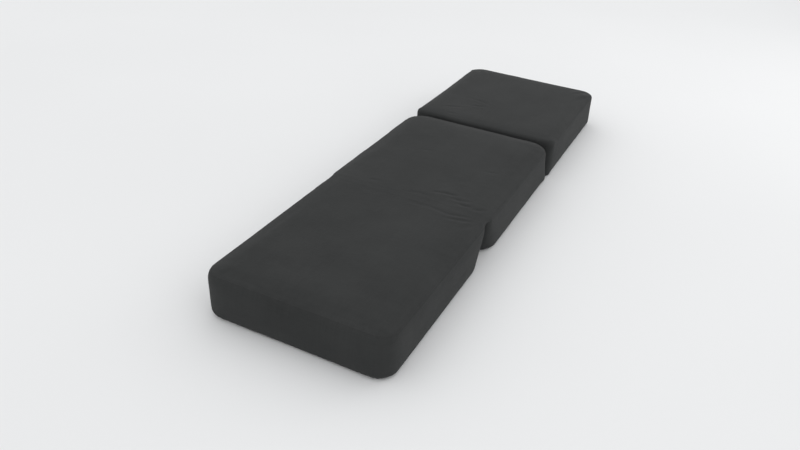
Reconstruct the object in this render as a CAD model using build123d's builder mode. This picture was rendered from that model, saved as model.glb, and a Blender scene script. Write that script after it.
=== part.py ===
from build123d import *
from math import atan2, cos, degrees, radians, sin, sqrt
import os

os.makedirs("parts", exist_ok=True)

# A frameless fold-out bed: three foam blocks in cloth covers, hinged by the cloth, unfolded flat on the floor.
# Millimetres, +X to the bed's right, +Y from its near end to its far end, +Z up.
# The origin is on the floor, under the middle of the bed.

# The bed as a whole
bed_length = 2000
bed_width = 582
bed_height = 157
section_names = ("near", "middle", "far")

# The soft form of a section: rounded edges, sides drawn in to their seams, a low crown
crown_rise = 6
crown_steps = (45, 110)
crown_rise_shares = (0.6, 0.4)
top_edge_radius = 26
bottom_edge_radius = 16
outer_corner_radius = 52
side_draw = 3
top_edge_angles = (0, 30, 60, 90)
bottom_edge_angles = (0, 45, 90)
chamfer_angles = (0, 90)
top_seam_angle = 30
bottom_seam_angle = 45
least_radius = 3

# The near hinge is sewn at the top, so its gap is a wedge that is open towards the floor
near_hinge_gap = 3
near_hinge_lean = 24
near_hinge_top_radius = 8
near_hinge_corner = 32

# The far hinge is sewn at the bottom, so its gap is open at the top
far_hinge_gap = 4
far_hinge_lean = 8
far_hinge_top_radius = 22
far_hinge_bottom_radius = 6
far_hinge_corner = 46

# Cover cloth, the foam inside it and the cloth of the two hinges
cloth = 1.2
foam_clearance = 0.4
seat_clearance = 0.3
hinge_cloth_width = 26
hinge_cloth_margin = 6

# Coil zip in the left side of each section, half way up
zip_end_margin = 21
zip_slot_height = 12
tape_width = 14
tape_thickness = 0.8
tape_gap = 2.4
tape_overhang = 8
tape_margin = 5
chain_width = 6
chain_thickness = 2
chain_pitch = 7
chain_groove = 2.8
chain_groove_depth = 0.9
groove_clearance = 0.5

# Zip slider, its pull and the stops that end its travel
slider_length = 14
slider_width = 10.4
slider_tail_width = 8.4
slider_shoulder = 1.5
slider_rounding = 1
slider_wing = 1.1
slider_clearance = 0.2
slider_post_width = 1.8
slider_post_length = 3
bridge_length = 10
bridge_width = 3
bridge_leg = 1.2
bridge_strap = 0.9
bridge_headroom = 2.2
bridge_rounding = 1.1
pull_length = 28
pull_width = 8
pull_tip_width = 6
pull_thickness = 1.3
pull_window_length = 7
pull_window_width = 4.2
pull_hole_radius = 1.5
pull_hole_inset = 4
pull_rounding = 0.6
stop_length = 3
stop_width = 2
stop_height = 1.6
stop_end_gap = 2
overrun = 1

section_pitch = bed_length / len(section_names)
near_hinge_y = -bed_length / 2 + section_pitch
far_hinge_y = near_hinge_y + section_pitch
half_width = bed_width / 2
edge_height = bed_height - crown_rise
mid_height = (bottom_edge_radius + edge_height - top_edge_radius) / 2
straight_band = tape_gap + 2 * (tape_width + tape_margin)
top_seam = edge_height - top_edge_radius * (1 - sin(radians(top_seam_angle)))
bottom_seam = bottom_edge_radius * (1 - cos(radians(bottom_seam_angle)))


class End:
    """One end of a section: where its face is, how far it leans back and how it is rounded."""

    def __init__(self, y, lean_top, lean_bottom, top_radius, bottom_radius, corner):
        self.y = y
        self.lean_top = lean_top
        self.lean_bottom = lean_bottom
        self.top_radius = top_radius
        self.bottom_radius = bottom_radius
        self.corner = corner

    def inset(self, z, skin):
        """How far the end's face lies inside its foremost line at height z."""
        lean = self.lean_bottom + (self.lean_top - self.lean_bottom) * min(z / edge_height, 1)
        return skin + lean + edge_inset(z, skin, self.top_radius, self.bottom_radius)


def outer_end(y):
    return End(y, 0, 0, top_edge_radius, bottom_edge_radius, outer_corner_radius)


def near_hinge_end(y):
    return End(y, 0, near_hinge_lean, near_hinge_top_radius, bottom_edge_radius, near_hinge_corner)


def far_hinge_end(y):
    return End(y, far_hinge_lean, 0, far_hinge_top_radius, far_hinge_bottom_radius, far_hinge_corner)


section_ends = {
    "near": (outer_end(-bed_length / 2), near_hinge_end(near_hinge_y - near_hinge_gap / 2)),
    "middle": (near_hinge_end(near_hinge_y + near_hinge_gap / 2), far_hinge_end(far_hinge_y - far_hinge_gap / 2)),
    "far": (far_hinge_end(far_hinge_y + far_hinge_gap / 2), outer_end(bed_length / 2)),
}


def edge_inset(z, skin, top_radius, bottom_radius):
    """How far a rounded edge has turned in from its face at height z."""
    above = z - (edge_height - top_radius)
    below = bottom_radius - z
    if above > 0:
        radius = max(top_radius - skin, 0)
        return radius - sqrt(max(radius**2 - above**2, 0))
    if below > 0:
        radius = max(bottom_radius - skin, 0)
        return radius - sqrt(max(radius**2 - below**2, 0))
    return 0


def side_inset(z):
    """How far a long side is drawn in towards its seams at height z."""
    reach = abs(z - mid_height) - straight_band / 2
    span = mid_height - bottom_edge_radius - straight_band / 2
    return side_draw * min(max(reach, 0) / span, 1)


def level_heights(skin, bottom_angles, top_angles):
    """Heights of the outlines that the form is lofted through, from the floor to the top edge."""
    bottom_radius = bottom_edge_radius - skin
    top_radius = top_edge_radius - skin
    heights = [skin + bottom_radius * (1 - cos(radians(angle))) for angle in bottom_angles]
    heights += [mid_height - straight_band / 2, mid_height + straight_band / 2]
    heights += [edge_height - top_edge_radius + top_radius * sin(radians(angle)) for angle in top_angles]
    return heights


def soft_form(section, skin, bottom_angles=bottom_edge_angles, top_angles=top_edge_angles):
    """A section's whole form, drawn in on every side by the thickness of the skin."""
    first, last = section_ends[section]
    with BuildPart() as form:
        for z in level_heights(skin, bottom_angles, top_angles):
            edge = edge_inset(z, skin, top_edge_radius, bottom_edge_radius)
            x = half_width - skin - side_inset(z) - edge
            y_first = first.y + first.inset(z, skin)
            y_last = last.y - last.inset(z, skin)
            r_first = max(first.corner - skin - edge, least_radius)
            r_last = max(last.corner - skin - edge, least_radius)
            with BuildSketch(Plane.XY.offset(z)):
                with BuildLine():
                    Line((-x + r_first, y_first), (x - r_first, y_first))
                    TangentArc((x - r_first, y_first), (x, y_first + r_first), tangent=(1, 0))
                    Line((x, y_first + r_first), (x, y_last - r_last))
                    TangentArc((x, y_last - r_last), (x - r_last, y_last), tangent=(0, 1))
                    Line((x - r_last, y_last), (-x + r_last, y_last))
                    TangentArc((-x + r_last, y_last), (-x, y_last - r_last), tangent=(-1, 0))
                    Line((-x, y_last - r_last), (-x, y_first + r_first))
                    TangentArc((-x, y_first + r_first), (-x + r_first, y_first), tangent=(0, -1))
                make_face()
        loft(ruled=True)
        for step, share in zip(crown_steps, crown_rise_shares):
            rise = crown_rise * share
            extrude(form.faces().sort_by(Axis.Z)[-1], amount=rise, taper=degrees(atan2(step, rise)))
    return form.part


def wall_plane(y, out):
    """A plane on the left side, half way up and facing outwards: its x runs along the bed."""
    return Plane(origin=(-half_width - out, y, mid_height), x_dir=(0, 1, 0), z_dir=(-1, 0, 0))


def level_plane(y, below):
    """A level plane on the left side: its x runs along the bed and its y points outwards."""
    return Plane(origin=(-half_width, y, mid_height - below), x_dir=(0, 1, 0), z_dir=(0, 0, 1))


def finish(piece, name):
    piece.part.label = name
    export_step(piece.part, f"parts/{name}.step")


# Distances outwards from the left side's face, through the zip
tape_outer_face = -cloth
tape_inner_face = tape_outer_face - tape_thickness
chain_face = tape_outer_face + chain_thickness
inner_wing_back = tape_inner_face - slider_clearance - slider_wing
wing_face = chain_face + slider_clearance + slider_wing
pull_axis_out = wing_face + bridge_headroom / 2
groove_floor = inner_wing_back - groove_clearance

# Distances along the bed from the middle of the zip
zip_length = section_pitch - 2 * (outer_corner_radius + zip_end_margin)
closed_stop_x = zip_length / 2 - stop_end_gap - stop_length / 2
open_stop_x = -closed_stop_x
slider_x = closed_stop_x - stop_length / 2 - seat_clearance - slider_length / 2
slider_travel = slider_x - slider_length / 2 - seat_clearance - (open_stop_x + stop_length / 2)
chain_start = open_stop_x + stop_length / 2
chain_end = slider_x + slider_length / 2 - slider_post_length - slider_clearance
chain_ribs = int((chain_end - chain_start) / chain_pitch)

for section in section_names:
    first, last = section_ends[section]
    zip_y = (first.y + last.y) / 2
    slider_y = zip_y + slider_x

    with BuildPart() as cover_shell:
        add(soft_form(section, 0))
        add(soft_form(section, cloth), mode=Mode.SUBTRACT)

    with BuildPart() as top_panel:
        add(cover_shell.part)
        split(bisect_by=Plane.XY.offset(top_seam), keep=Keep.TOP)
    finish(top_panel, f"{section}_top_panel")

    with BuildPart() as bottom_panel:
        add(cover_shell.part)
        split(bisect_by=Plane.XY.offset(bottom_seam), keep=Keep.BOTTOM)
    finish(bottom_panel, f"{section}_bottom_panel")

    with BuildPart() as boxing:
        add(cover_shell.part)
        split(bisect_by=Plane.XY.offset(top_seam), keep=Keep.BOTTOM)
        split(bisect_by=Plane.XY.offset(bottom_seam), keep=Keep.TOP)
        with BuildSketch(wall_plane(zip_y, -cloth - overrun)):
            Rectangle(zip_length, zip_slot_height)
        extrude(amount=cloth + 2 * overrun, mode=Mode.SUBTRACT)
    finish(boxing, f"{section}_boxing")

    # The foam is a block with its edges cut off, and gives way behind the zip
    with BuildPart() as foam_core:
        add(soft_form(section, cloth + foam_clearance, chamfer_angles, chamfer_angles))
        with BuildSketch(wall_plane(zip_y, groove_floor)):
            Rectangle(
                zip_length + 2 * (tape_overhang + groove_clearance),
                tape_gap + 2 * (tape_width + groove_clearance),
            )
        extrude(amount=-groove_floor + overrun, mode=Mode.SUBTRACT)
    finish(foam_core, f"{section}_foam_core")

    with BuildPart() as zip_tape:
        with BuildSketch(wall_plane(zip_y, tape_inner_face)):
            with GridLocations(0, tape_gap + tape_width, 1, 2):
                Rectangle(zip_length + 2 * tape_overhang, tape_width)
        extrude(amount=tape_thickness)
    finish(zip_tape, f"{section}_zip_tape")

    # The coil's turns stand up as ribs from one bed, sewn to the outer faces of both tapes
    with BuildPart() as zip_chain:
        with BuildSketch(level_plane(zip_y, chain_width / 2)):
            with BuildLine():
                rib_points = [(chain_start, tape_outer_face)]
                for rib in range(chain_ribs):
                    rib_start = chain_start + rib * chain_pitch
                    rib_end = rib_start + chain_pitch - chain_groove
                    rib_points += [
                        (rib_start, chain_face),
                        (rib_end, chain_face),
                        (rib_end, chain_face - chain_groove_depth),
                        (rib_start + chain_pitch, chain_face - chain_groove_depth),
                    ]
                rib_points.append((chain_start + chain_ribs * chain_pitch, tape_outer_face))
                Polyline(*rib_points, close=True)
            make_face()
        extrude(amount=chain_width)
    finish(zip_chain, f"{section}_zip_chain")

    with BuildPart() as zip_stops:
        with BuildSketch(wall_plane(zip_y, tape_outer_face)):
            with Locations((closed_stop_x, 0)):
                with GridLocations(0, tape_gap + stop_width, 1, 2):
                    Rectangle(stop_length, stop_width)
            with Locations((open_stop_x, 0)):
                Rectangle(stop_length, tape_gap + 2 * stop_width)
        extrude(amount=stop_height)
    finish(zip_stops, f"{section}_zip_stops")

    # The slider: two wings joined by a post, with flanges that guide the coil between them
    with BuildPart() as zip_slider:
        with BuildSketch(wall_plane(slider_y, tape_outer_face + slider_clearance)) as wing_outline:
            with BuildLine():
                Polyline(
                    (-slider_length / 2, -slider_tail_width / 2),
                    (slider_shoulder, -slider_width / 2),
                    (slider_length / 2, -slider_width / 2),
                    (slider_length / 2, slider_width / 2),
                    (slider_shoulder, slider_width / 2),
                    (-slider_length / 2, slider_tail_width / 2),
                    close=True,
                )
            make_face()
            fillet(wing_outline.vertices().group_by(Axis.X)[-1], slider_rounding)
        extrude(amount=wing_face - tape_outer_face - slider_clearance)
        with BuildSketch(wall_plane(slider_y, tape_outer_face - overrun)):
            Rectangle(slider_length + 2 * overrun, chain_width + 2 * slider_clearance)
        extrude(amount=chain_thickness + slider_clearance + overrun, mode=Mode.SUBTRACT)
        with BuildSketch(wall_plane(slider_y, inner_wing_back)):
            add(wing_outline.sketch_local)
        extrude(amount=slider_wing)
        with BuildSketch(wall_plane(slider_y, inner_wing_back)):
            with Locations((slider_length / 2 - slider_post_length / 2, 0)):
                Rectangle(slider_post_length, slider_post_width)
        extrude(amount=wing_face - inner_wing_back)
        with BuildSketch(level_plane(slider_y, bridge_width / 2)) as bridge_side:
            with BuildLine():
                Polyline(
                    (-bridge_length / 2, wing_face - slider_wing / 2),
                    (-bridge_length / 2, wing_face + bridge_headroom + bridge_strap),
                    (bridge_length / 2, wing_face + bridge_headroom + bridge_strap),
                    (bridge_length / 2, wing_face - slider_wing / 2),
                    close=True,
                )
            make_face()
            fillet(bridge_side.vertices().group_by(Axis.Y)[-1], bridge_rounding)
            with Locations((0, wing_face + bridge_headroom / 2)):
                Rectangle(bridge_length - 2 * bridge_leg, bridge_headroom, mode=Mode.SUBTRACT)
        extrude(amount=bridge_width)
    finish(zip_slider, f"{section}_zip_slider")

    # The pull's window goes over the bridge, and the bar at its end lies under the bridge's strap
    with BuildPart() as zip_pull:
        with BuildSketch(wall_plane(slider_y, pull_axis_out - pull_thickness / 2)) as pull_outline:
            with BuildLine():
                Polyline(
                    (pull_thickness / 2, -pull_width / 2),
                    (pull_thickness / 2, pull_width / 2),
                    (-pull_length, pull_tip_width / 2),
                    (-pull_length, -pull_tip_width / 2),
                    close=True,
                )
            make_face()
            fillet(pull_outline.vertices(), pull_rounding)
            with Locations((-pull_thickness / 2 - pull_window_length / 2, 0)):
                Rectangle(pull_window_length, pull_window_width, mode=Mode.SUBTRACT)
            with Locations((-pull_length + pull_hole_inset, 0)):
                Circle(pull_hole_radius, mode=Mode.SUBTRACT)
        extrude(amount=pull_thickness)
    finish(zip_pull, f"{section}_zip_pull")

# The near hinge's cloth lies across both top edges, just clear of the rise of their crowns
hinge_cloth_reach = (hinge_cloth_width - near_hinge_gap) / 2 - near_hinge_top_radius
hinge_cloth_rise = crown_rise * crown_rise_shares[0] * hinge_cloth_reach / crown_steps[0]
with BuildPart() as near_hinge_cloth:
    with BuildSketch(Plane.XY.offset(edge_height + hinge_cloth_rise + seat_clearance)):
        with Locations((0, near_hinge_y)):
            Rectangle(bed_width - 2 * (top_edge_radius + side_draw + hinge_cloth_margin), hinge_cloth_width)
    extrude(amount=cloth)
finish(near_hinge_cloth, "near_hinge_cloth")

# The far hinge's cloth is a web between the two ends, just above their rounded lower edges
with BuildPart() as far_hinge_cloth:
    with BuildSketch(Plane.XY.offset(far_hinge_bottom_radius)):
        with Locations((0, far_hinge_y)):
            Rectangle(
                bed_width - 2 * (far_hinge_corner + side_draw + hinge_cloth_margin),
                far_hinge_gap - 2 * seat_clearance,
            )
    extrude(amount=cloth)
finish(far_hinge_cloth, "far_hinge_cloth")

print("slider travel", round(slider_travel, 3), "slider along the zip", round(slider_x, 3))
print("pull axis outwards", round(pull_axis_out, 3), "at height", round(mid_height, 3))
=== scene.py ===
from math import cos, pi, radians, sin

import bmesh
import bpy
import numpy as np
from mathutils import Matrix, Vector, noise


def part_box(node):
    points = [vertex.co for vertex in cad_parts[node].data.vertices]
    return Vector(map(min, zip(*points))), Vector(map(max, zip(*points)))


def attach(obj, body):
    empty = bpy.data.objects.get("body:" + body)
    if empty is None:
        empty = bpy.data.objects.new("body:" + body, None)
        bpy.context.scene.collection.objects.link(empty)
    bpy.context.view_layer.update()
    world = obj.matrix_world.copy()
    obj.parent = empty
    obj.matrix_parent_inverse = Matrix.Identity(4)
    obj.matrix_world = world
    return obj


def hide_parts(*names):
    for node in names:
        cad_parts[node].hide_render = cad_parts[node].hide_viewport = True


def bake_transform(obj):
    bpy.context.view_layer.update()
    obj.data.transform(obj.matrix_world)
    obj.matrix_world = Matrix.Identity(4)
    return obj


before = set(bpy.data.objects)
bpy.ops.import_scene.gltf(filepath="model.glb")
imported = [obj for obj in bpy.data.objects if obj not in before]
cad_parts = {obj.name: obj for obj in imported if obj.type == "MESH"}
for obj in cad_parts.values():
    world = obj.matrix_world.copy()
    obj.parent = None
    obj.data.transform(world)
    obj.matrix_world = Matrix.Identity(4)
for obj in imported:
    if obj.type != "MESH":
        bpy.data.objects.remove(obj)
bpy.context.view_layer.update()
scene = bpy.context.scene

# Sizes, in metres
bed_length = 2.0
half_width = 0.291
edge_height = 0.151
top_height = 0.157
zip_height = 0.0705
sections = ("near", "middle", "far")
near_hinge_y = -bed_length / 6
far_hinge_y = bed_length / 6
near_half_gap = 0.0015
far_half_gap = 0.002

# Cutting, sewing and filling
cover_cell = 0.007
foam_cell = 0.014
foam_inside = 0.0065
top_seam = 0.138
bottom_seam = 0.0047
seam_cuts = {top_seam: (-0.0032, -0.0014, 0, 0.0014, 0.0032), bottom_seam: (-0.0014, 0, 0.0014)}
groove_depth = {top_seam: 0.0004, bottom_seam: 0.0006}
groove_width = 0.0012
seam_lip_away = 0.0036
seam_lip_width = 0.0024
drawn_reach = 0.012
hold_at_hinge = 0.012
filling_frames = 20
# The cover's cloth while air presses from inside
filling = {
    "quality": 4,
    "mass": 0.3,
    "tension_stiffness": 12,
    "compression_stiffness": 12,
    "shear_stiffness": 5,
    "bending_stiffness": 0.4,
    "use_pressure": True,
    "uniform_pressure_force": 4.0,
}

# Zips
zip_length = 0.520667
zip_slot = 0.012
zip_slot_depth = 0.0046
tape_face = -0.2898
tape_width = 0.014
tape_gap = 0.0024
tape_thickness = 0.0008
tape_overhang = 0.008
coil_pitch = 0.0015
coil_wire = 0.00032
coil_radius = 0.001
stitch_pitch = 0.0032
stitch_length = 0.0025
stitch_radius = 0.00028
stitch_dip = 0.0003
stitch_from_slot = 0.0052
stitch_away = zip_slot / 2 + stitch_from_slot

# The near hinge's cloth: half its length along the bed, and half of the part that spans from cover to cover
web_reach = 0.026
web_seat = 0.018
web_thickness = 0.0012
# How high it lies over the covers, how far it sags over the hinge, and how deep its seams sink in
web_above, web_sag, web_seam_depth = 0.0002, 0.0003, 0.0006
# The radius round which it turns down at the sides, and how far round, in degrees, at the hinge and at its seams
web_edge = 0.026
web_turn_hinge, web_turn_seam = 52, 90


# The workbench: selecting, shaping and marking a piece
def only(piece):
    """Selects one piece and nothing else."""
    clear_bench()
    piece.select_set(True)
    bpy.context.view_layer.objects.active = piece
    return piece


def clear_bench():
    """Nothing is selected, so that a new primitive is alone."""
    bpy.ops.object.select_all(action="DESELECT")


def named(name):
    """The new primitive gets its name, and its place and size go into its mesh."""
    piece = bpy.context.object
    piece.name = name
    piece.data.name = name
    only(piece)
    bpy.ops.object.transform_apply(location=True, rotation=True, scale=True)
    return piece


def modify(piece, kind, **settings):
    """Adds a modifier and applies it."""
    only(piece)
    modifier = piece.modifiers.new(kind, kind)
    for key, value in settings.items():
        setattr(modifier, key, value)
    bpy.ops.object.modifier_apply(modifier=modifier.name)


def repeat(piece, count, pitch):
    """A row of copies along the bed."""
    modify(
        piece,
        "ARRAY",
        count=count,
        use_relative_offset=False,
        use_constant_offset=True,
        constant_offset_displace=(0, pitch, 0),
    )


def join(first, second, name):
    """Makes one piece of two."""
    only(first)
    second.select_set(True)
    bpy.ops.object.join()
    first.name = name
    return only(first)


def pick(piece, kind, wanted):
    """In edit mode, selects the vertices, edges or faces that wanted(centre, normal) accepts.

    An edge has no normal, and gives the way from its first end to its last.
    """
    bpy.ops.mesh.select_mode(type=kind)
    bpy.ops.mesh.select_all(action="DESELECT")
    work = bmesh.from_edit_mesh(piece.data)
    for item in {"VERT": work.verts, "EDGE": work.edges, "FACE": work.faces}[kind]:
        if kind == "VERT":
            centre, normal = item.co, item.normal
        elif kind == "EDGE":
            first, last = (vertex.co for vertex in item.verts)
            centre, normal = (first + last) / 2, last - first
        else:
            centre, normal = item.calc_center_median(), item.normal
        if wanted(centre, normal):
            item.select_set(True)
    work.select_flush_mode()
    bmesh.update_edit_mesh(piece.data)


def points(piece):
    """The place of every vertex, one row each."""
    co = np.empty(len(piece.data.vertices) * 3)
    piece.data.vertices.foreach_get("co", co)
    return co.reshape(-1, 3)


def normals(piece):
    """The normal of every vertex, one row each."""
    found = np.empty(len(piece.data.vertices) * 3)
    piece.data.vertices.foreach_get("normal", found)
    return found.reshape(-1, 3)


def reshape(piece, co):
    """Moves every vertex to its new place."""
    piece.data.vertices.foreach_set("co", np.asarray(co, np.float32).ravel())
    piece.data.update()


def paint(piece, name, values):
    """Keeps a value for each point, which a finish reads."""
    layer = piece.data.attributes.get(name) or piece.data.attributes.new(name, "FLOAT", "POINT")
    layer.data.foreach_set("value", np.asarray(values, np.float32))


def smooth_step(low, high, value):
    """0 up to low, 1 from high on, and an even bend between them."""
    share = np.clip((value - low) / (high - low), 0, 1)
    return share * share * (3 - 2 * share)


def hump(value, middle, width):
    """1 at the middle, and soon 0 to both sides."""
    return np.exp(-(((value - middle) / width) ** 2))


def rolling(co, grain, seed):
    """Smooth noise from -1 to 1 at each point, with hills about one grain across."""
    shift = Vector((seed * 7.13, seed * 3.71, seed * 5.37))
    return np.array([noise.noise(Vector(p) / grain + shift) for p in co])


def lay_weave(piece):
    """A UV map in metres, laid flat on each side of the piece, so that the weave has its real scale."""
    mesh = piece.data
    layer = mesh.uv_layers.get("weave") or mesh.uv_layers.new(name="weave")
    count = len(mesh.loops)
    corner = np.empty(count, np.int32)
    mesh.loops.foreach_get("vertex_index", corner)
    sizes = np.empty(len(mesh.polygons), np.int32)
    mesh.polygons.foreach_get("loop_total", sizes)
    facing = np.empty(len(mesh.polygons) * 3)
    mesh.polygons.foreach_get("normal", facing)
    facing = np.repeat(np.abs(facing.reshape(-1, 3)), sizes, axis=0)
    co = points(piece)[corner]
    level = facing[:, 2] > 0.6
    across = (facing[:, 0] > facing[:, 1]) & ~level
    u = np.where(across, co[:, 1], co[:, 0])
    v = np.where(level, co[:, 1], co[:, 2])
    layer.data.foreach_set("uv", np.column_stack([u, v]).astype(np.float32).ravel())


# Finishes
class Value:
    """A number on its way through a finish. Sums and products of values add Math nodes."""

    def __init__(self, finish, socket):
        self.finish = finish
        self.socket = socket

    def part(self, name):
        """Another output of the node that this value comes from."""
        return Value(self.finish, self.socket.node.outputs[name])

    def maths(self, operation, first, second):
        return self.finish.two(operation, first, second)

    def __add__(self, other):
        return self.maths("ADD", self, other)

    def __sub__(self, other):
        return self.maths("SUBTRACT", self, other)

    def __rsub__(self, other):
        return self.maths("SUBTRACT", other, self)

    def __mul__(self, other):
        return self.maths("MULTIPLY", self, other)

    def __truediv__(self, other):
        return self.maths("DIVIDE", self, other)

    __radd__ = __add__
    __rmul__ = __mul__


class Nodes:
    """A tree of nodes that is built up step by step: a material's or the studio's light."""

    def __init__(self, tree):
        self.tree = tree

    def feed(self, socket, value):
        if isinstance(value, Value):
            self.tree.links.new(value.socket, socket)
        else:
            socket.default_value = value

    def add(self, kind, settings=None, sockets=None, output=0):
        """A node of any kind: its settings first, then the values or links of its sockets."""
        node = self.tree.nodes.new("ShaderNode" + kind)
        for key, value in (settings or {}).items():
            if key == "stops":
                self.set_stops(node.color_ramp, value)
            else:
                setattr(node, key, value)
        for key, value in (sockets or {}).items():
            self.feed(node.inputs[key], value)
        return Value(self, node.outputs[output])

    def set_stops(self, ramp, stops):
        while len(ramp.elements) < len(stops):
            ramp.elements.new(0.5)
        for element, (place, colour) in zip(ramp.elements, stops):
            element.position = place
            element.color = (*colour, 1)

    def one(self, operation, value):
        return self.add("Math", {"operation": operation}, {0: value})

    def two(self, operation, first, second):
        return self.add("Math", {"operation": operation}, {0: first, 1: second})


class Finish(Nodes):
    """A piece's material."""

    def __init__(self, name, surface):
        self.material = bpy.data.materials.new(name)
        self.material.use_nodes = True
        super().__init__(self.material.node_tree)
        self.shader = self.tree.nodes["Principled BSDF"]
        for key, value in surface.items():
            self.feed(self.shader.inputs[key], value)

    def place(self):
        return self.add("TexCoord", output="Object")

    def kept(self, name):
        return self.add("Attribute", {"attribute_name": name}, output="Fac")

    def cloudy(self, where, scale, detail=2.0, roughness=0.5):
        sockets = {"Vector": where, "Scale": scale, "Detail": detail, "Roughness": roughness}
        return self.add("TexNoise", None, sockets)

    def ramp(self, value, *stops):
        """Colours along a value. Each stop is a place and a colour."""
        return self.add("ValToRGB", {"stops": stops}, {0: value})

    def tint(self, factor, first, second):
        settings = {"data_type": "RGBA", "blend_type": "MIX"}
        return self.add("Mix", settings, {0: factor, 6: first, 7: second}, output=2)

    def bump(self, height, distance, strength, below=None):
        sockets = {"Height": height, "Distance": distance, "Strength": strength}
        if below is not None:
            sockets["Normal"] = below
        return self.add("Bump", None, sockets)

    def colour(self, value):
        self.feed(self.shader.inputs["Base Color"], value)

    def rough(self, value):
        self.feed(self.shader.inputs["Roughness"], value)

    def relief(self, value):
        self.feed(self.shader.inputs["Normal"], value)


def grey(level):
    return (level, level, level, 1)


def plain_weave(finish, pitch):
    """Threads that go over and under one another: the cloth's height, and a random shade for each thread."""
    place = finish.add("SeparateXYZ", None, {0: finish.add("UVMap", {"uv_map": "weave"})})
    along = place.part("X") / pitch
    across = place.part("Y") / pitch
    warp_round = finish.one("SINE", finish.one("FRACT", along) * pi)
    weft_round = finish.one("SINE", finish.one("FRACT", across) * pi)
    warp_count = finish.one("FLOOR", along)
    weft_count = finish.one("FLOOR", across)
    over = finish.two("PINGPONG", warp_count + weft_count, 1.0)
    warp_up = over * warp_round * (0.55 + 0.45 * weft_round)
    weft_up = (1 - over) * weft_round * (0.55 + 0.45 * warp_round)
    warp_shade = finish.add("TexWhiteNoise", {"noise_dimensions": "1D"}, {"W": warp_count})
    weft_shade = finish.add("TexWhiteNoise", {"noise_dimensions": "1D"}, {"W": weft_count + 0.5})
    shade = over * warp_shade + (1 - over) * weft_shade
    return warp_up + weft_up, shade


def cover_cloth():
    surface = {"Sheen Weight": 0.06, "Sheen Roughness": 0.5, "Sheen Tint": grey(0.7), "Specular IOR Level": 0.12}
    finish = Finish("cover_cloth", surface)
    where = finish.place()
    weave, shade = plain_weave(finish, 0.0011)
    faded = finish.cloudy(where, 5.5, 3.0)
    mottled = finish.cloudy(where, 42.0, 4.0, 0.6)
    fuzz = finish.cloudy(where, 900.0, 2.0)
    tone = 0.55 * faded + 0.27 * mottled + 0.18 * shade
    cloth = finish.ramp(
        tone,
        (0.25, (0.0245, 0.0255, 0.0253)),
        (0.5, (0.0313, 0.0325, 0.0322)),
        (0.8, (0.0394, 0.0407, 0.0401)),
    )
    rubbed = finish.kept("wear") * (0.35 + 0.65 * mottled)
    # painted shade: the cloth darkens in the sunken seam grooves, and a little all over the far hinge's web low
    # in its gap
    painted_groove_shade = finish.kept("seam")
    cloth = finish.tint(rubbed * 0.35, cloth, grey(0.05))
    cloth = finish.tint(painted_groove_shade * 0.12, cloth, grey(0.016))
    finish.colour(cloth)
    finish.rough(0.8 + 0.16 * mottled)
    creases = finish.bump(finish.cloudy(where, 60.0, 3.0, 0.55), 0.0009, 0.6)
    threads = finish.bump(weave + 0.35 * fuzz, 0.00016, 0.75, creases)
    finish.relief(threads)
    return finish.material


def foam():
    finish = Finish("foam", {"Specular IOR Level": 0.2})
    where = finish.place()
    cells = finish.add("TexVoronoi", {"feature": "F1"}, {"Vector": where, "Scale": 620.0})
    broad = finish.cloudy(where, 7.0, 3.0)
    tone = 0.6 * broad + 0.4 * cells
    finish.colour(finish.ramp(tone, (0.2, (0.62, 0.54, 0.36)), (0.8, (0.78, 0.71, 0.52))))
    finish.rough(0.88 + 0.1 * broad)
    finish.relief(finish.bump(cells, 0.0006, 0.8))
    return finish.material


def zip_tape_weave():
    finish = Finish("zip_tape", {"Sheen Weight": 0.15, "Sheen Roughness": 0.4, "Specular IOR Level": 0.3})
    where = finish.add("SeparateXYZ", None, {0: finish.place()})
    slant = finish.two("PINGPONG", where.part("Z") / 0.0022, 1.0)
    bones = finish.one("SINE", (where.part("Y") / 0.0009 + slant * 1.5) * pi)
    mottled = finish.cloudy(finish.place(), 90.0, 3.0)
    tone = 0.5 * mottled + 0.25 * bones + 0.25
    finish.colour(finish.ramp(tone, (0.1, (0.016, 0.016, 0.017)), (0.9, (0.036, 0.036, 0.037))))
    finish.rough(0.7 + 0.2 * mottled)
    finish.relief(finish.bump(bones, 0.00012, 0.8))
    return finish.material


def zip_coil_nylon():
    finish = Finish("zip_coil", {"Specular IOR Level": 0.5})
    worn = finish.cloudy(finish.place(), 240.0, 3.0)
    finish.colour(finish.ramp(worn, (0.3, (0.013, 0.013, 0.014)), (0.8, (0.03, 0.03, 0.031))))
    finish.rough(0.3 + 0.25 * worn)
    finish.relief(finish.bump(worn, 0.00003, 0.5))
    return finish.material


def zip_metal():
    finish = Finish("zip_metal", {"Metallic": 1.0})
    where = finish.place()
    stretched = finish.add("Mapping", None, {"Vector": where, "Scale": (600.0, 90.0, 1500.0)})
    brushed = finish.cloudy(stretched, 1.0, 3.0)
    cloudy = finish.cloudy(where, 320.0, 4.0, 0.65)
    tone = 0.55 * cloudy + 0.45 * brushed
    finish.colour(finish.ramp(tone, (0.3, (0.16, 0.155, 0.15)), (0.75, (0.42, 0.41, 0.39))))
    finish.rough(0.24 + 0.3 * cloudy)
    finish.relief(finish.bump(brushed, 0.00002, 0.5))
    return finish.material


def sewing_thread():
    finish = Finish("sewing_thread", {"Sheen Weight": 0.2, "Specular IOR Level": 0.4})
    where = finish.add("SeparateXYZ", None, {0: finish.place()})
    ply = finish.one("SINE", (where.part("Y") + where.part("Z")) * (2 * pi / 0.0006))
    tone = 0.5 + 0.5 * ply
    finish.colour(finish.ramp(tone, (0.0, (0.028, 0.029, 0.029)), (1.0, (0.075, 0.076, 0.076))))
    finish.rough(0.6 + 0.1 * ply)
    return finish.material


def studio_floor():
    finish = Finish("studio_floor", {"Specular IOR Level": 0.1})
    broad = finish.cloudy(finish.place(), 0.7, 2.0)
    finish.colour(finish.tint(broad, grey(0.80), grey(0.84)))
    finish.rough(0.9 + 0.05 * broad)
    return finish.material


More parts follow.
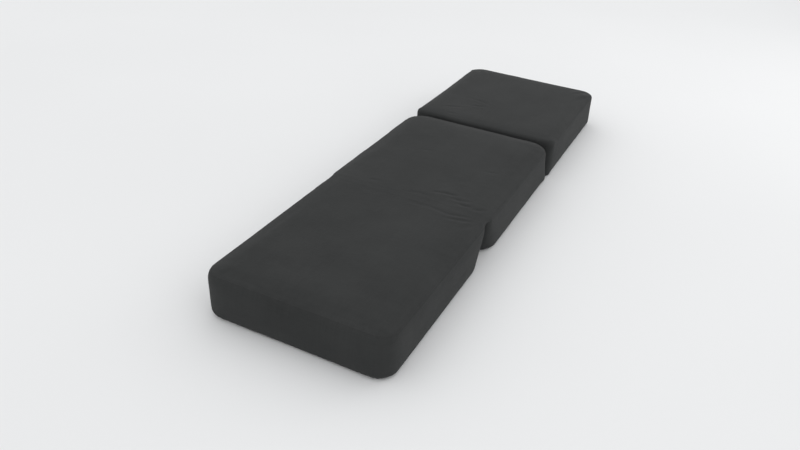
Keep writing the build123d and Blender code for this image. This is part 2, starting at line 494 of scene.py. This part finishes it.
cloth_finish = cover_cloth()
foam_finish = foam()
tape_finish = zip_tape_weave()
coil_finish = zip_coil_nylon()
metal_finish = zip_metal()
thread_finish = sewing_thread()


def dress(piece, finish):
    piece.data.materials.clear()
    piece.data.materials.append(finish)


# The soft form of a section
class End:
    """An end of a section: its line along the bed, its lean and how its corners and edges are rounded.

    Each pair is for the top and the bottom. At a level end the top runs on to the next section.
    """

    def __init__(self, y, side, lean, edge, corner, swell, level=False):
        self.y = y
        self.side = side
        self.lean_top, self.lean_bottom = lean
        self.edge_top, self.edge_bottom = edge
        self.corner_top, self.corner_bottom = corner
        self.swell = swell
        self.level = level
        self.hinged = lean != (0, 0)

    def share(self, z):
        return np.clip(z / edge_height, 0, 1)

    def outside(self, co):
        """How far each point is outside the end's face."""
        lean = self.lean_bottom + (self.lean_top - self.lean_bottom) * self.share(co[:, 2])
        return (co[:, 1] - self.y) * self.side + lean

    def turned(self, ahead):
        """How far the way round the corner has turned from the long side to the end."""
        return smooth_step(-0.018, 0.018, ahead) if self.level else smooth_step(-0.06, 0, ahead)

    def corner(self, z):
        """The corner's radius in plan, which changes most near the floor."""
        return self.corner_top + (self.corner_bottom - self.corner_top) * (1 - self.share(z)) ** 1.5


def outer_end(side, edge, corner, swell):
    return End(side * bed_length / 2, side, (0, 0), edge, corner, swell)


def near_hinge_end(side, lean, corner_bottom):
    """This end leans away from the hinge downwards, so that the gap is open below."""
    y = near_hinge_y - side * near_half_gap
    return End(y, side, (0, lean), (0.008, 0.018), (0.026, corner_bottom), 0.0005, level=True)


def far_hinge_end(side, edge_top, corner):
    """This end leans away from the hinge upwards, so that the gap is open above."""
    y = far_hinge_y - side * far_half_gap
    return End(y, side, (0.008, 0), (edge_top, 0.006), corner, 0.0008)


ends = {
    "near": (
        outer_end(-1, edge=(0.034, 0.022), corner=(0.052, 0.058), swell=0.0055),
        near_hinge_end(1, lean=0.030, corner_bottom=0.072),
    ),
    "middle": (
        near_hinge_end(-1, lean=0.026, corner_bottom=0.086),
        far_hinge_end(1, edge_top=0.022, corner=(0.076, 0.010)),
    ),
    "far": (
        far_hinge_end(-1, edge_top=0.013, corner=(0.026, 0.036)),
        outer_end(1, edge=(0.026, 0.018), corner=(0.062, 0.036), swell=0.004),
    ),
}
crown_swell = 0.0056
side_swell = 0.003
broader = {"near": 0, "middle": 0.0012, "far": 0.003}
side_edge_top = {"near": 0.028, "middle": 0.023, "far": 0.019}
side_edge_bottom = 0.018
smallest_edge, largest_edge = 0.004, 0.05


def rounded(first, second, radius):
    """The two distances as one, with an edge of that radius where they meet."""
    inner = np.minimum(np.maximum(first + radius, second + radius), 0)
    return inner + np.hypot(np.maximum(first + radius, 0), np.maximum(second + radius, 0)) - radius


def form_distance(section, co):
    """How far each point is outside the section's form before it is filled."""
    sides = np.abs(co[:, 0]) - (half_width + broader[section] - side_swell)
    side_top = side_edge_top[section]
    plan, edge_top, edge_bottom = sides, side_top, side_edge_bottom
    for end in ends[section]:
        end_out = end.outside(co) + end.swell
        plan = rounded(plan, end_out, end.corner(co[:, 2]))
        # the long sides keep their own edge radius, and it turns into the end's radius round the corner
        at_end = end.turned(end_out - sides)
        edge_top = edge_top + at_end * (end.edge_top - side_top)
        edge_bottom = edge_bottom + at_end * (end.edge_bottom - side_edge_bottom)
    solid = rounded(plan, co[:, 2] - edge_height, np.clip(edge_top, smallest_edge, largest_edge))
    return rounded(solid, -co[:, 2], np.clip(edge_bottom, smallest_edge, largest_edge))


def form_slope(section, co, step):
    """The form's distance at each point, and the way in which it grows."""
    distance = form_distance(section, co)
    slope = np.empty_like(co)
    for axis in range(3):
        ahead = co.copy()
        ahead[:, axis] += step
        slope[:, axis] = (form_distance(section, ahead) - distance) / step
    return distance, slope


def fit_to_form(section, co):
    """Moves each point along the form's slope, six times over, until it lies on the form."""
    co = co.copy()
    for _ in range(6):
        distance, slope = form_slope(section, co, 1e-5)
        steep = np.maximum((slope**2).sum(1), 0.25)
        co -= slope * (distance / steep)[:, None]
    return co


def block(name, section, skin, cell):
    """A block that lies a skin inside the section, leans as its ends do, and is cut in even cells."""
    front, back = ends[section]
    low = Vector((-half_width + skin, front.y + skin, skin))
    high = Vector((half_width - skin, back.y - skin, edge_height - skin))
    clear_bench()
    bpy.ops.mesh.primitive_cube_add(size=1, location=(low + high) / 2, scale=high - low)
    piece = named(name)
    bpy.ops.object.mode_set(mode="EDIT")
    for end in (front, back):
        for lean, top in ((end.lean_top, True), (end.lean_bottom, False)):
            pick(piece, "VERT", lambda at, _: (at.z > edge_height / 2) == top and abs(at.y - end.y) < 0.05)
            bpy.ops.transform.translate(value=(0, -end.side * lean, 0))
    # rough corners and rims, which the form makes right
    pick(piece, "EDGE", lambda _, way: abs(way.z) > 0.05)
    bpy.ops.mesh.bevel(offset=0.036, segments=5, affect="EDGES")
    pick(piece, "FACE", lambda _, facing: abs(facing.z) > 0.9)
    bpy.ops.mesh.bevel(offset=0.012, segments=3, affect="EDGES")
    bpy.ops.object.mode_set(mode="OBJECT")
    piece.data.remesh_voxel_size = cell
    only(piece)
    bpy.ops.object.voxel_remesh()
    return piece


def fill(piece, section):
    """Blows the cover up a little from inside with cloth simulation, held at its seams and at the hinges."""
    start = points(piece)
    near_seam = np.minimum(abs(start[:, 2] - top_seam), abs(start[:, 2] - bottom_seam))
    held = near_seam < 0.6 * cover_cell
    for end in ends[section]:
        if end.hinged:
            held |= end.outside(start) > -hold_at_hinge
    group = piece.vertex_groups.new(name="held")
    group.add([int(i) for i in np.nonzero(held)[0]], 1.0, "REPLACE")
    only(piece)
    modifier = piece.modifiers.new("filling", "CLOTH")
    for key, value in filling.items():
        setattr(modifier.settings, key, value)
    modifier.settings.effector_weights.gravity = 0
    modifier.settings.vertex_group_mass = "held"
    modifier.point_cache.frame_start = 1
    modifier.point_cache.frame_end = filling_frames
    for number in range(1, filling_frames + 1):
        scene.frame_set(number)
    bpy.ops.object.modifier_apply(modifier=modifier.name)
    scene.frame_set(1)
    piece.vertex_groups.clear()
    return points(piece) - start


def swell_limits(section, co):
    """How far the filling may push each point outwards."""
    level = smooth_step(edge_height - 0.022, edge_height - 0.004, co[:, 2])
    limit = side_swell + (crown_swell - side_swell) * level
    for end in ends[section]:
        at_end = smooth_step(-0.030, -0.006, end.outside(co)) * (1 - 0.85 * level)
        limit = limit + (end.swell - limit) * at_end
    return np.maximum(limit, 0.0002)


def level_to_hinge(section, start, move):
    """The top keeps its rise as it runs on to the near hinge, where the cloth of two sections is one."""
    across = np.abs(start[:, 0])
    for end in ends[section]:
        if not end.level:
            continue
        inside = -end.outside(start)
        # the rise is read in a band across the top, well inside the hinge
        band = (inside > 0.07) & (inside < 0.11) & (start[:, 2] > edge_height - 0.001)
        places = np.linspace(0, half_width - side_edge_top[section], 24)
        half_step = places[1]
        rises = [move[band & (abs(across - place) < half_step), 2].mean() for place in places]
        rise = np.interp(across, places, rises) * smooth_step(half_width, places[-1], across)
        near = smooth_step(0.095, 0.045, inside) * smooth_step(0.118, 0.148, start[:, 2])
        move[:, 2] += near * (rise - move[:, 2])
    return move


def cut_level(piece, height):
    """A seam needs a line of edges: cuts the cover at that height, after moving what lies close on to it."""
    co = points(piece)
    close = abs(co[:, 2] - height) < 0.0009
    co[close, 2] = height
    reshape(piece, co)
    only(piece)
    bpy.ops.object.mode_set(mode="EDIT")
    bpy.ops.mesh.select_all(action="SELECT")
    bpy.ops.mesh.bisect(plane_co=(0, 0, height), plane_no=(0, 0, 1))
    bpy.ops.object.mode_set(mode="OBJECT")


# Wrinkles: section, the points that each one runs through, its width and its depth
wrinkles = {
    "near": [
        ([(0.095, -0.361), (0.169, -0.373), (0.244, -0.356)], 0.0078, 0.0022),
        ([(0.154, -0.399), (0.216, -0.387), (0.262, -0.368)], 0.0072, 0.0018),
        ([(0.015, -0.362), (0.065, -0.366), (0.109, -0.360)], 0.0096, 0.0011),
        ([(0.229, -0.434), (0.250, -0.405), (0.264, -0.375)], 0.0078, 0.0014),
        ([(-0.063, -0.362), (-0.122, -0.368), (-0.171, -0.362)], 0.0120, 0.0007),
    ],
    "middle": [
        ([(0.065, -0.265), (0.103, -0.253), (0.149, -0.252)], 0.0066, 0.0026),
        ([(0.126, -0.273), (0.165, -0.275), (0.200, -0.266)], 0.0072, 0.0022),
        ([(0.154, -0.293), (0.185, -0.299), (0.220, -0.291)], 0.0072, 0.0026),
        ([(0.209, -0.307), (0.239, -0.300), (0.262, -0.283)], 0.0072, 0.0020),
        ([(-0.121, -0.004), (-0.092, 0.005), (-0.060, 0.013)], 0.0060, 0.0012),
        ([(0.159, -0.039), (0.180, -0.035), (0.204, -0.029)], 0.0066, 0.0015),
        ([(-0.156, -0.304), (-0.130, -0.294), (-0.107, -0.295)], 0.0066, 0.0013),
        ([(-0.004, -0.305), (0.035, -0.298), (0.085, -0.300)], 0.0084, 0.0010),
    ],
    "far": [
        ([(-0.158, 0.576), (-0.106, 0.568), (-0.044, 0.548)], 0.0066, 0.0018),
        ([(-0.120, 0.499), (-0.087, 0.507), (-0.050, 0.518)], 0.0066, 0.0016),
        ([(-0.202, 0.429), (-0.161, 0.449), (-0.119, 0.464)], 0.0066, 0.0017),
        ([(-0.161, 0.381), (-0.146, 0.382), (-0.128, 0.382)], 0.0060, 0.0013),
    ],
}


def along_line(co, line):
    """For each point: its distance from the line in plan, and its place along it from 0 to 1."""
    corners = [np.array(p) for p in line]
    lengths = [np.linalg.norm(b - a) for a, b in zip(corners, corners[1:])]
    best = np.full(len(co), 1e9)
    place = np.zeros(len(co))
    done = 0.0
    for a, b, length in zip(corners, corners[1:], lengths):
        share = np.clip(((co[:, :2] - a) @ (b - a)) / length**2, 0, 1)
        distance = np.linalg.norm(co[:, :2] - a - share[:, None] * (b - a), axis=1)
        nearer = distance < best
        best = np.where(nearer, distance, best)
        place = np.where(nearer, (done + share * length) / sum(lengths), place)
        done += length
    return best, place


def press_wrinkles(section, co, facing):
    """How far the wrinkles lower each point: a valley with a soft ridge on each side."""
    depth = np.zeros(len(co))
    on_top = smooth_step(0.5, 0.9, facing[:, 2])
    for line, width, deep in wrinkles[section]:
        distance, place = along_line(co, line)
        fade = np.sin(np.clip(place, 0.02, 0.98) * pi) ** 0.7
        valley = hump(distance, 0, width)
        ridge = hump(distance, 2.1 * width, 1.2 * width)
        depth += deep * fade * (0.8 * valley - 0.3 * ridge)
    return depth * on_top


def sew(piece, section):
    """Seams, puckers, wrinkles and the gentle unevenness of a filled cover, with painted shade in the seam
    grooves.
    """
    co, facing = points(piece), normals(piece)
    seed = 1 + sections.index(section)
    out = 0.0007 * rolling(co, 0.085, seed) + 0.00035 * rolling(co, 0.035, seed + 10)
    pucker = rolling(co * np.array([1, 1, 0.25]), 0.0075, seed + 20)
    tighter = rolling(co * np.array([1, 1, 0.3]), 0.016, seed + 30)
    groove_shade = np.zeros(len(co))
    on_wall = smooth_step(0.95, 0.7, abs(facing[:, 2]))
    for height, deep in groove_depth.items():
        away = abs(co[:, 2] - height)
        groove = hump(away, 0, groove_width) * on_wall
        lip = hump(away, seam_lip_away, seam_lip_width) * on_wall
        drawn = np.exp(-away / drawn_reach) * on_wall * (0.6 * pucker + 0.4 * tighter)
        out += 0.0002 * lip + 0.0004 * drawn - deep * groove * (0.8 + 0.3 * pucker)
        groove_shade = np.maximum(groove_shade, groove)
    out -= press_wrinkles(section, co, facing)
    # beside a hinge only low bumps are left, so that the sections don't meet
    low = 0.0002
    for end in ends[section]:
        if end.hinged:
            away_from_hinge = smooth_step(-0.010, -0.042, end.outside(co))
            out = np.where(out > low, low + away_from_hinge * (out - low), out)
    co = co + facing * out[:, None]
    co[:, 2] = np.clip(co[:, 2], 0, None)
    # the crown levels out under the bed's full height
    bend = 0.0013
    over = np.maximum(co[:, 2] - (top_height - 0.0015), 0)
    co[:, 2] -= over - bend * np.tanh(over / bend)
    reshape(piece, co)
    # the seam value is painted shade: it darkens the cloth in the sunken seam grooves
    paint(piece, "seam", groove_shade)
    paint(piece, "wear", rubbed_rim(co) * (0.6 + 0.4 * np.clip(tighter, -1, 1)))


def rubbed_rim(co):
    """How near each point is to the upper or the lower rim, where use rubs the cloth."""
    upper = hump(co[:, 2], 0.143, 0.012)
    lower = 0.6 * hump(co[:, 2], 0.008, 0.007)
    return np.clip(upper + lower, 0, 1)


def zip_middle(section):
    front, back = ends[section]
    return (front.y + back.y) / 2


def open_slot(piece, section):
    """The slot for the zip in the left side, with folded lips above and below it."""
    middle = zip_middle(section)
    half_length, half_slot = zip_length / 2, zip_slot / 2
    co = points(piece)
    on_left = (co[:, 0] < -half_width + 0.012) & (abs(co[:, 1] - middle) < half_length + 0.03)
    flat = smooth_step(0.030, 0.016, abs(co[:, 2] - zip_height))
    flat *= smooth_step(half_length + 0.03, half_length + 0.01, abs(co[:, 1] - middle))
    co[:, 0] = np.where(on_left, co[:, 0] + flat * (-half_width - co[:, 0]), co[:, 0])
    reshape(piece, co)
    only(piece)
    bpy.ops.object.mode_set(mode="EDIT")

    def near_slot(margin):
        return lambda at, facing: (
            facing.x < -0.7
            and abs(at.y - middle) < half_length + margin
            and abs(at.z - zip_height) < half_slot + margin
            and at.x < -half_width + 0.006
        )

    for edge in (0, 0.0022, 0.005):
        for sign in (-1, 1):
            pick(piece, "FACE", near_slot(0.012))
            bpy.ops.mesh.bisect(plane_co=(0, 0, zip_height + sign * (half_slot + edge)), plane_no=(0, 0, 1))
            pick(piece, "FACE", near_slot(0.012))
            bpy.ops.mesh.bisect(plane_co=(0, middle + sign * (half_length + edge), 0), plane_no=(0, 1, 0))
    pick(piece, "FACE", near_slot(0))
    for deep in (0.0012, zip_slot_depth - 0.0012):
        bpy.ops.mesh.extrude_region_move(TRANSFORM_OT_translate={"value": (deep, 0, 0)})
    bpy.ops.object.mode_set(mode="OBJECT")
    co = points(piece)
    away = np.maximum(abs(co[:, 2] - zip_height) - half_slot, abs(co[:, 1] - middle) - half_length)
    wall = (co[:, 0] < -half_width + 0.0005) & (away > -0.0002) & (away < 0.02)
    # a lip stands up round the slot, and the stitches beside it draw the cloth in
    lip = 0.0007 * hump(away, 0.0016, 0.0022)
    stitched = 0.0005 * hump(away, stitch_from_slot, 0.0013)
    co[:, 0] = np.where(wall, co[:, 0] - (lip - stitched), co[:, 0])
    reshape(piece, co)


def make_cover(section):
    """A cover: cut to the form, filled, sewn, and slotted for its zip."""
    cover = block(f"{section}_cover", section, skin=0.002, cell=cover_cell)
    reshape(cover, fit_to_form(section, points(cover)))
    start = points(cover)
    moved = fill(cover, section)
    outwards = np.linalg.norm(moved, axis=1)
    limit = swell_limits(section, start)
    capped = limit * np.tanh(outwards / np.maximum(limit, 1e-6))
    move = moved * (capped / np.maximum(outwards, 1e-9))[:, None]
    co = start + level_to_hinge(section, start, move)
    co[:, 2] = np.clip(co[:, 2], 0, None)
    reshape(cover, co)
    modify(cover, "SUBSURF", levels=1, render_levels=1)
    for height, steps in seam_cuts.items():
        for step in steps:
            cut_level(cover, height + step)
    sew(cover, section)
    open_slot(cover, section)
    only(cover)
    bpy.ops.object.shade_smooth_by_angle(angle=radians(58))
    lay_weave(cover)
    dress(cover, cloth_finish)
    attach(cover, section)
    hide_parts(f"{section}_top_panel", f"{section}_boxing", f"{section}_bottom_panel")
    return cover


def make_foam(section):
    """The foam block: the cover's form, drawn in all round."""
    piece = block(f"{section}_foam_block", section, skin=0.010, cell=foam_cell)
    co = fit_to_form(section, points(piece))
    _, slope = form_slope(section, co, 1e-4)
    slope /= np.maximum(np.linalg.norm(slope, axis=1), 1e-6)[:, None]
    reshape(piece, co - foam_inside * slope)
    only(piece)
    bpy.ops.object.shade_smooth()
    dress(piece, foam_finish)
    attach(piece, section)
    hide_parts(f"{section}_foam_core")


# Zips
def make_tape(section):
    """Two woven tapes, their long edges rounded."""
    middle = zip_middle(section)
    length = zip_length + 2 * tape_overhang
    halves = []
    for sign in (-1, 1):
        centre = zip_height + sign * (tape_gap + tape_width) / 2
        clear_bench()
        bpy.ops.mesh.primitive_cube_add(
            size=1,
            location=(tape_face + tape_thickness / 2, middle, centre),
            scale=(tape_thickness, length, tape_width),
        )
        half = named(f"{section}_zip_tape_half")
        bpy.ops.object.mode_set(mode="EDIT")
        pick(half, "EDGE", lambda _, way: abs(way.y) > 0.1)
        bpy.ops.mesh.bevel(offset=0.00025, segments=2, affect="EDGES")
        pick(half, "EDGE", lambda _, way: abs(way.y) > 0.1)
        bpy.ops.mesh.subdivide(number_cuts=64)
        bpy.ops.object.mode_set(mode="OBJECT")
        halves.append(half)
    tape = join(*halves, f"{section}_zip_tapes")
    bpy.ops.object.shade_smooth_by_angle(angle=radians(40))
    dress(tape, tape_finish)
    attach(tape, section)
    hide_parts(f"{section}_zip_tape")


def make_coil(section):
    """Two rows of nylon loops, each row a half turn behind the other, closed from end to end."""
    low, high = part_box(f"{section}_zip_chain")
    count = int((high.y - low.y) / coil_pitch) - 1
    thick = (high.x - low.x) / 2
    reach = (high.z - low.z) / 2
    # a loop's share of the chain's thickness and width, how it is drawn out and leans, and its row's place
    loop_thick, loop_reach, loop_length, loop_lean, row_place = 0.94, 0.56, 1.15, 0.22, 0.43
    rows = []
    for sign in (-1, 1):
        clear_bench()
        bpy.ops.mesh.primitive_torus_add(
            major_segments=12,
            minor_segments=5,
            major_radius=coil_radius,
            minor_radius=coil_wire,
            location=(0, 0, 0),
            rotation=(radians(90), 0, 0),
        )
        loop = named(f"{section}_zip_coil_row")
        co = points(loop)
        # the loop is flattened into the chain, reaches past its middle line and leans like a spring's turn
        co[:, 0] *= loop_thick * thick / (coil_radius + coil_wire)
        co[:, 2] *= loop_reach * reach / (coil_radius + coil_wire)
        co[:, 1] = co[:, 1] * loop_length + co[:, 0] * loop_lean * sign
        # the upper row is half a turn behind the lower one
        first = low.y + coil_pitch * (0.75 + (0.5 if sign > 0 else 0))
        co += np.array([(low.x + high.x) / 2, first, zip_height + sign * row_place * reach])
        reshape(loop, co)
        repeat(loop, count, coil_pitch)
        rows.append(loop)
    coil = join(*rows, f"{section}_zip_coil")
    bpy.ops.object.shade_smooth()
    dress(coil, coil_finish)
    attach(coil, section)
    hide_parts(f"{section}_zip_chain")


def make_stitches(section, cover):
    """Rows of stitches that hold the zip, above and below the slot, lying on the cover."""
    count = int((zip_length + 0.008) / stitch_pitch)
    start = zip_middle(section) - count * stitch_pitch / 2
    rows = []
    for sign in (-1, 1):
        clear_bench()
        bpy.ops.mesh.primitive_uv_sphere_add(segments=6, ring_count=5, radius=1, location=(0, 0, 0))
        stitch = named(f"{section}_stitch_row")
        co = points(stitch)
        co = np.column_stack([co[:, 0] * stitch_radius, co[:, 2] * stitch_length / 2, co[:, 1] * stitch_radius])
        co[:, 0] += (co[:, 1] / (stitch_length / 2)) ** 2 * stitch_dip
        co += np.array([0, start + stitch_pitch / 2, zip_height + sign * stitch_away])
        reshape(stitch, co)
        repeat(stitch, count, stitch_pitch)
        rows.append(stitch)
    stitches = join(*rows, f"{section}_zip_stitches")
    co = points(stitches)
    number = np.floor((co[:, 1] - start) / stitch_pitch).tolist()
    places = list(zip(number, np.sign(co[:, 2] - zip_height).tolist()))
    # each stitch finds the cover from outside, and lies 0.1 mm proud of it
    level = {}
    for place in set(places):
        origin = Vector((-0.32, start + (place[0] + 0.5) * stitch_pitch, zip_height + place[1] * stitch_away))
        hit, at, _, _ = cover.ray_cast(origin, Vector((1, 0, 0)))
        level[place] = at.x if hit else -half_width
    co[:, 0] += np.array([level[place] - 0.0001 for place in places])
    reshape(stitches, co)
    bpy.ops.object.shade_smooth()
    dress(stitches, thread_finish)
    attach(stitches, section)


# The cloth of the hinges
def height_over(cover, foot, out, along):
    """The cover's height over the foot, outwards from the middle of its rounded edge."""
    above = 0.1
    start = foot + above * out + Vector((0, near_hinge_y + along, 0))
    hit, at, _, _ = cover.ray_cast(start, -out)
    return above - (start - at).length if hit else web_edge


def make_near_hinge(covers):
    """The cloth runs on from the middle section to the near one, and turns down over the rounded sides."""
    straight = half_width - side_swell / 2 - web_edge
    clear_bench()
    bpy.ops.mesh.primitive_grid_add(x_subdivisions=120, y_subdivisions=24, size=2, location=(0, 0, 0))
    web = named("near_hinge_web")
    shares = points(web)
    co = np.empty_like(shares)
    for i, (across, along, _) in enumerate(shares):
        # the rows lie closer together towards the seams
        away = web_reach * (1 - (1 - abs(along)) ** 1.6)
        turn = radians(web_turn_hinge + (web_turn_seam - web_turn_hinge) * along**2)
        run = across * (straight + web_edge * turn)
        angle = np.sign(run) * max(abs(run) - straight, 0) / web_edge
        out = Vector((sin(angle), 0, cos(angle)))
        foot = Vector((np.clip(run, -straight, straight), 0, edge_height - web_edge))
        if away > web_seat:
            # it lies on a cover, and its seam sinks into it
            height = height_over(covers["middle" if along > 0 else "near"], foot, out, np.sign(along) * away)
            height += web_above - web_seam_depth * smooth_step(web_seat, web_reach, away)
        else:
            # it spans the hinge from one cover to the other, and sags a little
            near = height_over(covers["near"], foot, out, -web_seat)
            middle = height_over(covers["middle"], foot, out, web_seat)
            height = near + (middle - near) * (np.sign(along) * away / web_seat + 1) / 2
            height += web_above - web_sag * (1 - (away / web_seat) ** 2) ** 2
        co[i] = foot + out * float(height) + Vector((0, near_hinge_y + np.sign(along) * away, 0))
    co[:, 2] += 0.0002 * rolling(co, 0.02, 51)
    reshape(web, co)
    modify(web, "SOLIDIFY", thickness=web_thickness, offset=-1.0)
    modify(web, "SUBSURF", levels=1, render_levels=1)
    paint(web, "seam", np.zeros(len(web.data.vertices)))
    paint(web, "wear", rubbed_rim(points(web)) * 0.6)
    only(web)
    bpy.ops.object.shade_smooth()
    lay_weave(web)
    dress(web, cloth_finish)
    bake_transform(web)
    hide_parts("near_hinge_cloth")


def make_far_hinge():
    """The web low in the far gap, sewn to both sections."""
    low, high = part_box("far_hinge_cloth")
    clear_bench()
    bpy.ops.mesh.primitive_cube_add(size=1, location=(low + high) / 2, scale=high - low)
    web = named("far_hinge_web")
    bpy.ops.object.mode_set(mode="EDIT")
    pick(web, "EDGE", lambda _, way: abs(way.x) > 0.1)
    bpy.ops.mesh.subdivide(number_cuts=90)
    pick(web, "EDGE", lambda _, way: abs(way.y) > 0.001)
    bpy.ops.mesh.subdivide(number_cuts=5)
    bpy.ops.object.mode_set(mode="OBJECT")
    co = points(web)
    share = (co[:, 1] - far_hinge_y) / ((high.y - low.y) / 2)
    # its edges reach into the sections, and it hangs a little in the middle
    edge_reach, edge_lift = 0.0024, 0.0008
    co[:, 1] = far_hinge_y + share * edge_reach
    co[:, 2] += edge_lift * share**2 + 0.0004 * rolling(co, 0.018, 61)
    reshape(web, co)
    # painted shade: the whole web is darkened a little, as it lies low in the gap between the sections
    paint(web, "seam", np.full(len(web.data.vertices), 0.3))
    paint(web, "wear", np.zeros(len(web.data.vertices)))
    only(web)
    bpy.ops.object.shade_smooth_by_angle(angle=radians(50))
    lay_weave(web)
    dress(web, cloth_finish)
    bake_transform(web)
    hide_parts("far_hinge_cloth")


covers = {section: make_cover(section) for section in sections}
for section in sections:
    make_foam(section)
    make_tape(section)
    make_coil(section)
    make_stitches(section, covers[section])
    for part in ("zip_stops", "zip_slider", "zip_pull"):
        dress(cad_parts[f"{section}_{part}"], metal_finish)
make_near_hinge(covers)
make_far_hinge()

# Floor, light and camera
clear_bench()
bpy.ops.mesh.primitive_plane_add(size=40, location=(0, 0, -0.0006))
floor = named("floor")
dress(floor, studio_floor())


def soft_box(name, at, target, size, power):
    """A lamp with a broad face that is turned to its target."""
    data = bpy.data.lights.new(name, "AREA")
    data.shape = "RECTANGLE"
    data.size, data.size_y = size
    data.energy = power
    box = bpy.data.objects.new(name, data)
    scene.collection.objects.link(box)
    box.location = at
    box.rotation_euler = (Vector(target) - Vector(at)).to_track_quat("-Z", "Y").to_euler()


def studio_light(ambient, backdrop):
    """Even light from all round, and a pale backdrop behind the floor's edge."""
    world = bpy.data.worlds.new("studio")
    world.use_nodes = True
    studio = Nodes(world.node_tree)
    light = studio.add("Background", None, {"Color": (0.98, 0.99, 1.0, 1), "Strength": ambient})
    seen = studio.add("Background", None, {"Color": grey(backdrop), "Strength": 1.0})
    ray = studio.add("LightPath", output="Is Camera Ray")
    mirrored = studio.two("MAXIMUM", ray.part("Is Glossy Ray"), ray.part("Is Transmission Ray"))
    direct = studio.two("MAXIMUM", ray, mirrored)
    both = studio.add("MixShader", None, {0: direct, 1: light, 2: seen})
    studio.feed(world.node_tree.nodes["World Output"].inputs["Surface"], both)
    scene.world = world


soft_box("key_light", at=(2.1, 2.2, 1.7), target=(0, 0.1, 0.1), size=(1.8, 1.4), power=8)
studio_light(ambient=1.02, backdrop=0.83)

# The camera stands before the bed's near end, to its right, and looks down at it
camera_at = (0.8717, -2.2466, 1.3117)
yaw, pitch, roll = radians(-24.104), radians(31.095), radians(4.058)
forward = Vector((sin(yaw) * cos(pitch), cos(yaw) * cos(pitch), -sin(pitch)))
level_right = Vector((cos(yaw), -sin(yaw), 0))
level_up = level_right.cross(forward)
right = cos(roll) * level_right + sin(roll) * level_up
up = -sin(roll) * level_right + cos(roll) * level_up
camera_data = bpy.data.cameras.new("camera")
camera_data.sensor_width = 36
camera_data.lens = 33.56
camera_data.shift_x = -0.0101
camera = bpy.data.objects.new("camera", camera_data)
scene.collection.objects.link(camera)
camera_turn = Matrix((right, up, -forward)).transposed().to_4x4()
camera.matrix_world = Matrix.Translation(camera_at) @ camera_turn
scene.camera = camera
scene.view_settings.view_transform = "Standard"
